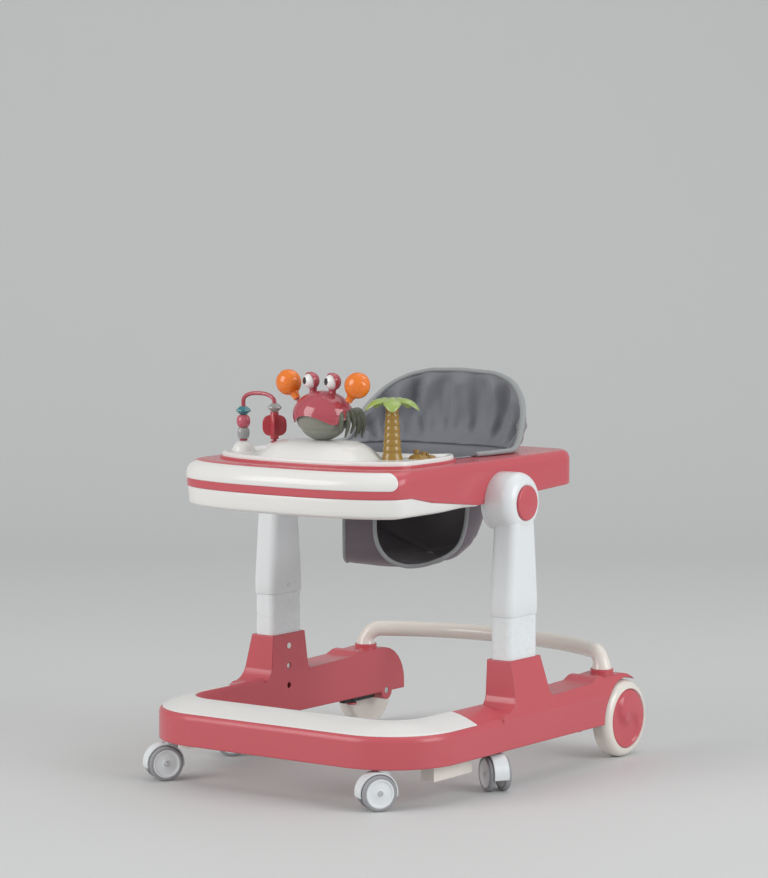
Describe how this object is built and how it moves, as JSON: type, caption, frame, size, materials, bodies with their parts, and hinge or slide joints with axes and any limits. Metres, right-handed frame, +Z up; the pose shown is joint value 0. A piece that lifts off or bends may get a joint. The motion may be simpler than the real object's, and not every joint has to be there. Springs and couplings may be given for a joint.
{
  "type": "baby walker",
  "caption": "Baby walker: U-shaped wheeled base, sliding legs, a pivoting tray with a padded hanging seat, a lift-off toy tray and a bowed rear bar.",
  "frame": {"origin": "on the floor, under the middle of the walker's overall box", "axes": "+X to the child's left, -Y to the front (the toy tray), +Z up"},
  "size_m": [0.5302, 0.6277, 0.5877],
  "materials": {
    "coral": "glossy moulded",
    "white": "glossy moulded",
    "cream": "satin moulded",
    "steel": "brushed",
    "black": "satin",
    "tyre_grey": "matte rubber",
    "grey_fabric": "woven, padded",
    "ring_grey": "glossy",
    "rose": "glossy",
    "mirror_grey": "smooth satin",
    "orange": "glossy",
    "olive": "glossy",
    "leaf_green": "glossy",
    "teal": "glossy",
    "red": "glossy"
  },
  "bodies": {
    "base": {"base_shell": "coral", "front_inlay": "white", "rear_bar": "cream", "grip_pads": "cream", "rear_axles": "steel", "brake_brackets": "coral"},
    "left_leg": {"leg_post_left": "white", "leg_housing_left": "white", "housing_screw_left": "steel", "pivot_pin_left": "steel"},
    "hub_press_left": {"hub_button_left": "coral"},
    "snap_left": {"snap_button_left": "white"},
    "brake_left": {"brake_lever_left": "black"},
    "rear_wheel_left": {"rear_wheel_left": "cream", "rear_cap_left": "coral"},
    "right_leg": {"leg_post_right": "white", "leg_housing_right": "white", "housing_screw_right": "steel", "pivot_pin_right": "steel"},
    "hub_press_right": {"hub_button_right": "coral"},
    "snap_right": {"snap_button_right": "white"},
    "brake_right": {"brake_lever_right": "black"},
    "rear_wheel_right": {"rear_wheel_right": "cream", "rear_cap_right": "coral"},
    "caster_front_left": {"caster_fork_front_left": "white"},
    "caster_wheels_front_left": {"caster_hub_front_left": "white", "caster_tyre_front_left": "tyre_grey"},
    "caster_front_right": {"caster_fork_front_right": "white"},
    "caster_wheels_front_right": {"caster_hub_front_right": "white", "caster_tyre_front_right": "tyre_grey"},
    "caster_mid_left": {"caster_fork_mid_left": "white"},
    "caster_wheels_mid_left": {"caster_hub_mid_left": "white", "caster_tyre_mid_left": "tyre_grey"},
    "caster_mid_right": {"caster_fork_mid_right": "white"},
    "caster_wheels_mid_right": {"caster_hub_mid_right": "white", "caster_tyre_mid_right": "tyre_grey"},
    "tray": {"tray_upper": "coral", "tray_lower": "white", "grip_insert": "white", "seat_back": "grey_fabric", "seat_bucket": "grey_fabric", "strap_ring": "ring_grey"},
    "toys": {"toy_tray": "white", "toy_tray_rim": "coral", "crab_body": "rose", "crab_mirror": "mirror_grey", "crab_eyes": "white", "crab_pupils": "black", "palm_trunk": "olive", "palm_leaves": "leaf_green", "sand_island": "olive", "bead_arch": "rose"},
    "claw_left": {"crab_claw_left": "orange"},
    "claw_right": {"crab_claw_right": "orange"},
    "teal_bead": {"teal_bead": "teal"},
    "rose_barrel": {"rose_barrel": "rose"},
    "grey_barrel": {"grey_barrel": "ring_grey"},
    "grey_bead": {"grey_bead": "ring_grey"},
    "red_paddle": {"red_paddle": "red"}
  },
  "joints": [
    {"name": "left_leg_height", "type": "slide", "parent": "base", "child": "left_leg", "axis": [0, 0, 1], "range_m": [-0.06, 0]},
    {"name": "hub_button_left_press", "type": "slide", "parent": "left_leg", "child": "hub_press_left", "axis": [-1, 0, 0], "range_m": [0, 0.0029], "stiffness_N_per_m": 400, "springref_m": -0.004},
    {"name": "snap_button_left_press", "type": "slide", "parent": "base", "child": "snap_left", "axis": [1, 0, 0], "range_m": [0, 0.003], "stiffness_N_per_m": 400, "springref_m": -0.004},
    {"name": "brake_left_swing", "type": "hinge", "parent": "base", "child": "brake_left", "pos_m": [0.206, 0.1825, 0.05], "axis": [0, 0, -1], "range_deg": [0, 7]},
    {"name": "rear_wheel_left_spin", "type": "hinge", "parent": "base", "child": "rear_wheel_left", "pos_m": [0.236, 0.2565, 0.0573], "axis": [1, 0, 0], "continuous": true},
    {"name": "right_leg_height", "type": "slide", "parent": "base", "child": "right_leg", "axis": [0, 0, 1], "range_m": [-0.06, 0]},
    {"name": "hub_button_right_press", "type": "slide", "parent": "right_leg", "child": "hub_press_right", "axis": [1, 0, 0], "range_m": [0, 0.0029], "stiffness_N_per_m": 400, "springref_m": -0.004},
    {"name": "snap_button_right_press", "type": "slide", "parent": "base", "child": "snap_right", "axis": [-1, 0, 0], "range_m": [0, 0.003], "stiffness_N_per_m": 400, "springref_m": -0.004},
    {"name": "brake_right_swing", "type": "hinge", "parent": "base", "child": "brake_right", "pos_m": [-0.206, 0.1825, 0.05], "axis": [0, 0, 1], "range_deg": [0, 7]},
    {"name": "rear_wheel_right_spin", "type": "hinge", "parent": "base", "child": "rear_wheel_right", "pos_m": [-0.236, 0.2565, 0.0573], "axis": [1, 0, 0], "continuous": true},
    {"name": "caster_front_left_swivel", "type": "hinge", "parent": "base", "child": "caster_front_left", "pos_m": [0.188, -0.2745, 0.056], "axis": [0, 0, 1], "continuous": true},
    {"name": "caster_front_left_spin", "type": "hinge", "parent": "caster_front_left", "child": "caster_wheels_front_left", "pos_m": [0.18134, -0.28448, 0.025], "axis": [0.832, -0.5548, 0], "continuous": true},
    {"name": "caster_front_right_swivel", "type": "hinge", "parent": "base", "child": "caster_front_right", "pos_m": [-0.188, -0.2745, 0.056], "axis": [0, 0, 1], "continuous": true},
    {"name": "caster_front_right_spin", "type": "hinge", "parent": "caster_front_right", "child": "caster_wheels_front_right", "pos_m": [-0.19466, -0.28448, 0.025], "axis": [0.832, -0.5548, 0], "continuous": true},
    {"name": "caster_mid_left_swivel", "type": "hinge", "parent": "base", "child": "caster_mid_left", "pos_m": [0.226, -0.0685, 0.056], "axis": [0, 0, 1], "continuous": true},
    {"name": "caster_mid_left_spin", "type": "hinge", "parent": "caster_mid_left", "child": "caster_wheels_mid_left", "pos_m": [0.23583, -0.07538, 0.025], "axis": [0.5736, 0.8192, 0], "continuous": true},
    {"name": "caster_mid_right_swivel", "type": "hinge", "parent": "base", "child": "caster_mid_right", "pos_m": [-0.226, -0.0685, 0.056], "axis": [0, 0, 1], "continuous": true},
    {"name": "caster_mid_right_spin", "type": "hinge", "parent": "caster_mid_right", "child": "caster_wheels_mid_right", "pos_m": [-0.23583, -0.07538, 0.025], "axis": [0.5736, -0.8192, 0], "continuous": true},
    {"name": "tray_fold", "type": "hinge", "parent": "right_leg", "child": "tray", "pos_m": [0, 0.0065, 0.399], "axis": [-1, 0, 0], "range_deg": [0, 90]},
    {"name": "toy_tray_lift", "type": "slide", "parent": "tray", "child": "toys", "axis": [0, 0, 1], "range_m": [0, 0.05]},
    {"name": "claw_left_twist", "type": "hinge", "parent": "toys", "child": "claw_left", "pos_m": [0.045, -0.1635, 0.545], "axis": [0.5592, 0, 0.829], "range_deg": [-40, 40]},
    {"name": "claw_right_twist", "type": "hinge", "parent": "toys", "child": "claw_right", "pos_m": [-0.045, -0.1635, 0.545], "axis": [-0.5592, 0, 0.829], "range_deg": [-40, 40]},
    {"name": "teal_bead_spin", "type": "hinge", "parent": "toys", "child": "teal_bead", "pos_m": [-0.146, -0.1595, 0.5], "axis": [0, 0, 1], "continuous": true},
    {"name": "rose_barrel_spin", "type": "hinge", "parent": "toys", "child": "rose_barrel", "pos_m": [-0.146, -0.1595, 0.5], "axis": [0, 0, 1], "continuous": true},
    {"name": "grey_barrel_spin", "type": "hinge", "parent": "toys", "child": "grey_barrel", "pos_m": [-0.146, -0.1595, 0.5], "axis": [0, 0, 1], "continuous": true},
    {"name": "grey_bead_spin", "type": "hinge", "parent": "toys", "child": "grey_bead", "pos_m": [-0.0893, -0.1595, 0.5], "axis": [0, 0, 1], "continuous": true},
    {"name": "red_paddle_spin", "type": "hinge", "parent": "toys", "child": "red_paddle", "pos_m": [-0.0893, -0.1595, 0.5], "axis": [0, 0, 1], "continuous": true}
  ],
  "couplings": [
    {"joint": "left_leg_height", "follows": "right_leg_height", "ratio": 1}
  ]
}
